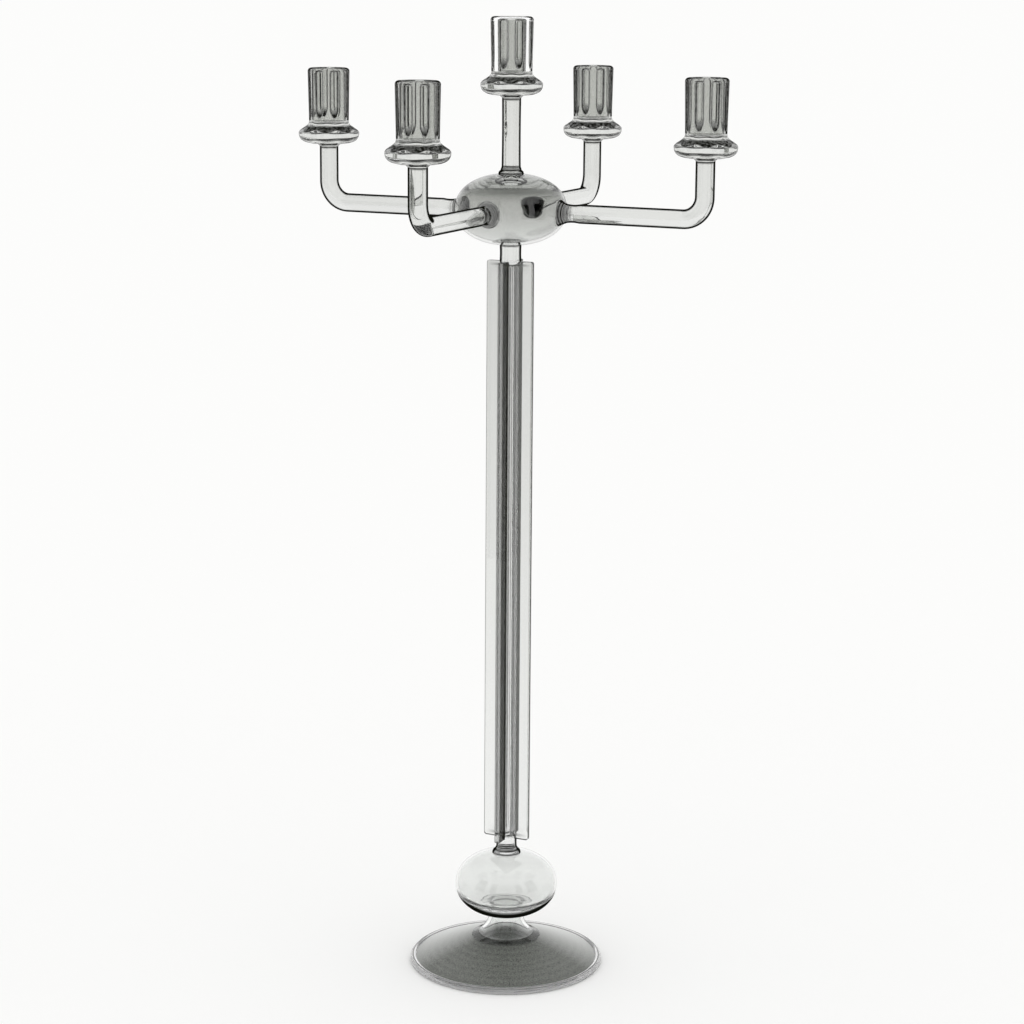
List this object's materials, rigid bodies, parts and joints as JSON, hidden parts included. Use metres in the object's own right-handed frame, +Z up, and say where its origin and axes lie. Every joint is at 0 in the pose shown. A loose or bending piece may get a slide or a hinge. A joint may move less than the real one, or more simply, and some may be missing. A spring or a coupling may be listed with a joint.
{
  "type": "candelabrum",
  "caption": "Tall glass candelabrum: a domed round foot, a blown bulb, a finned column and a hub bulb, with ribbed candle sockets on bent arms round a raised middle one.",
  "frame": {"origin": "centre of the foot's resting face, on the table", "axes": "+Z up along the column; the arms point along +X, +Y, -X and -Y"},
  "size_m": [0.299, 0.299, 0.6204],
  "materials": {
    "clear_glass": "clear, polished",
    "dish_glass": "smoke, polished",
    "column_glass": "faint smoke fading to clear, drawn",
    "hub_glass": "smoke, blown",
    "rod_glass": "clear, fire-polished",
    "cup_glass": "smoke, ribbed"
  },
  "bodies": {
    "root": {"foot_rim": "clear_glass", "foot_dish": "dish_glass", "foot_neck": "clear_glass", "lower_bulb": "clear_glass", "lower_seal": "clear_glass", "lower_neck": "clear_glass", "column": "column_glass", "upper_neck": "rod_glass", "hub_bulb": "hub_glass", "top_seal": "rod_glass", "centre_stem": "rod_glass", "arm_seal_right": "rod_glass", "arm_seal_back": "rod_glass", "arm_seal_left": "rod_glass", "arm_seal_front": "rod_glass", "arm_right": "rod_glass", "arm_back": "rod_glass", "arm_left": "rod_glass", "arm_front": "rod_glass", "drip_collar_centre": "cup_glass", "drip_collar_right": "cup_glass", "drip_collar_back": "cup_glass", "drip_collar_left": "cup_glass", "drip_collar_front": "cup_glass", "socket_centre": "cup_glass", "socket_right": "cup_glass", "socket_back": "cup_glass", "socket_left": "cup_glass", "socket_front": "cup_glass"}
  },
  "joints": []
}
